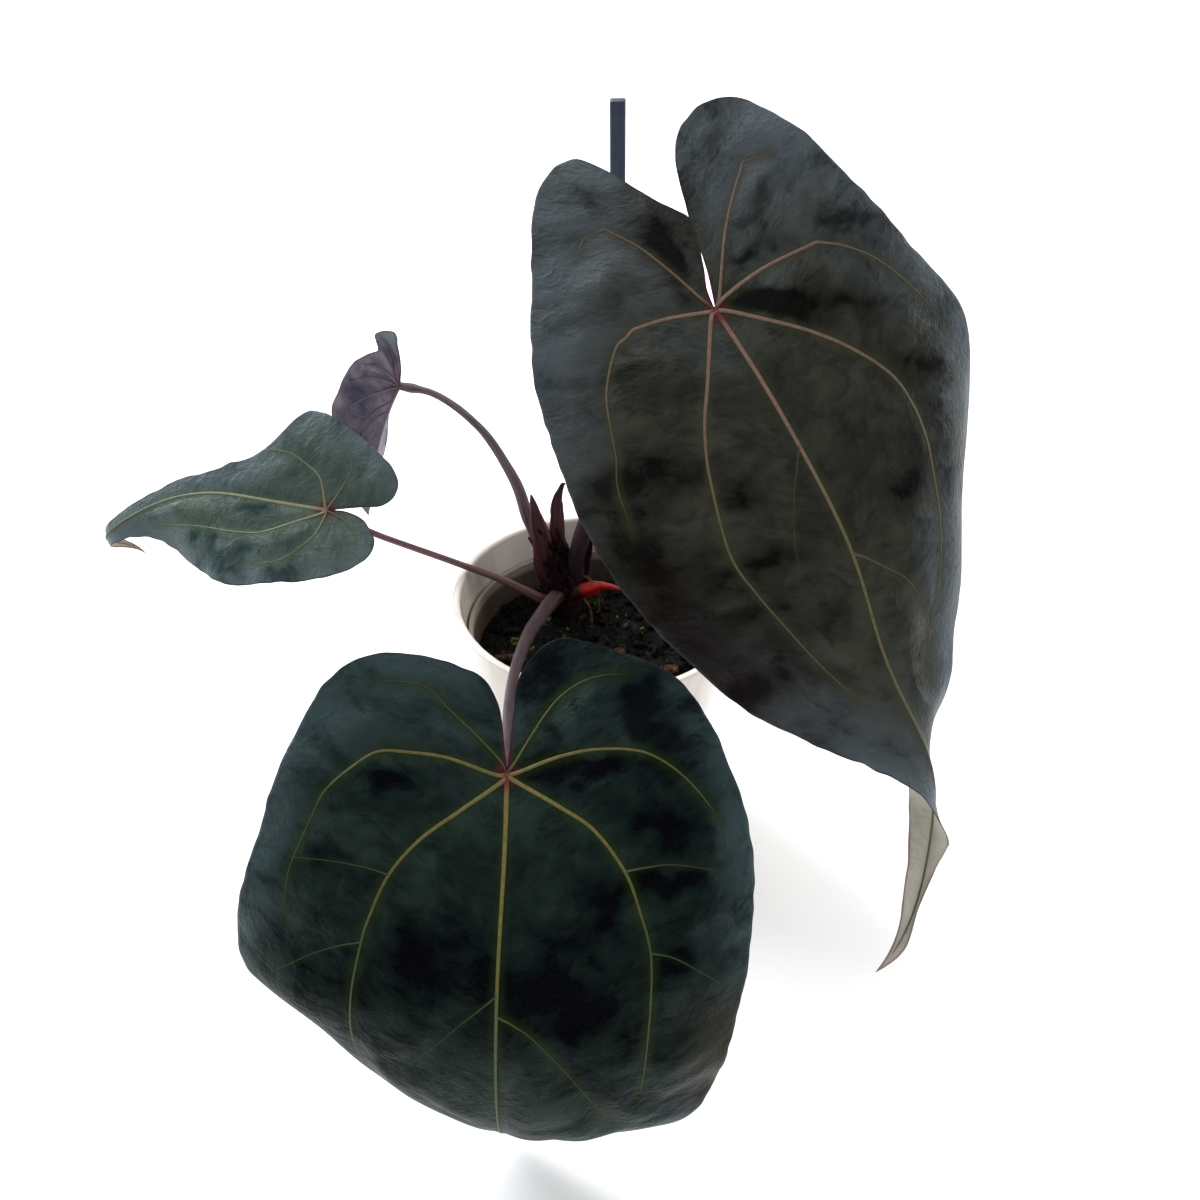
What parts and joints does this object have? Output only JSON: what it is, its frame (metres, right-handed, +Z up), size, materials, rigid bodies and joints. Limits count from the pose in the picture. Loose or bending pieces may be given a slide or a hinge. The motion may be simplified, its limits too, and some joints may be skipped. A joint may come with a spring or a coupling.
{
  "type": "potted anthurium plant",
  "caption": "Potted anthurium hybrid with dark velvety heart-shaped leaves on long stalks, in a plastic nursery pot inside a glossy white cover pot, with a support stake.",
  "frame": {"origin": "middle of the cover pot's flat base", "axes": "+Z up; -Y towards the viewer of the picture, where the front leaf hangs; +X to its right, below the big leaf"},
  "size_m": [0.3526, 0.2953, 0.3269],
  "materials": {
    "cover_pot": "glossy",
    "nursery_pot": "satin",
    "potting_mix": "matte",
    "support_stake": "satin",
    "stem": "satin",
    "red_bud": "satin",
    "petioles": "satin",
    "blade_dark": "satin",
    "blade_teal": "satin",
    "blade_young": "satin"
  },
  "bodies": {
    "root": {"cover_pot": "cover_pot", "nursery_pot": "nursery_pot", "potting_mix": "potting_mix", "support_stake": "support_stake", "stem": "stem", "red_bud": "red_bud", "petiole_big": "petioles", "petiole_front": "petioles", "petiole_left": "petioles", "petiole_young": "petioles", "blade_big": "blade_dark", "blade_front": "blade_dark", "blade_left": "blade_teal", "blade_young": "blade_young"}
  },
  "joints": []
}
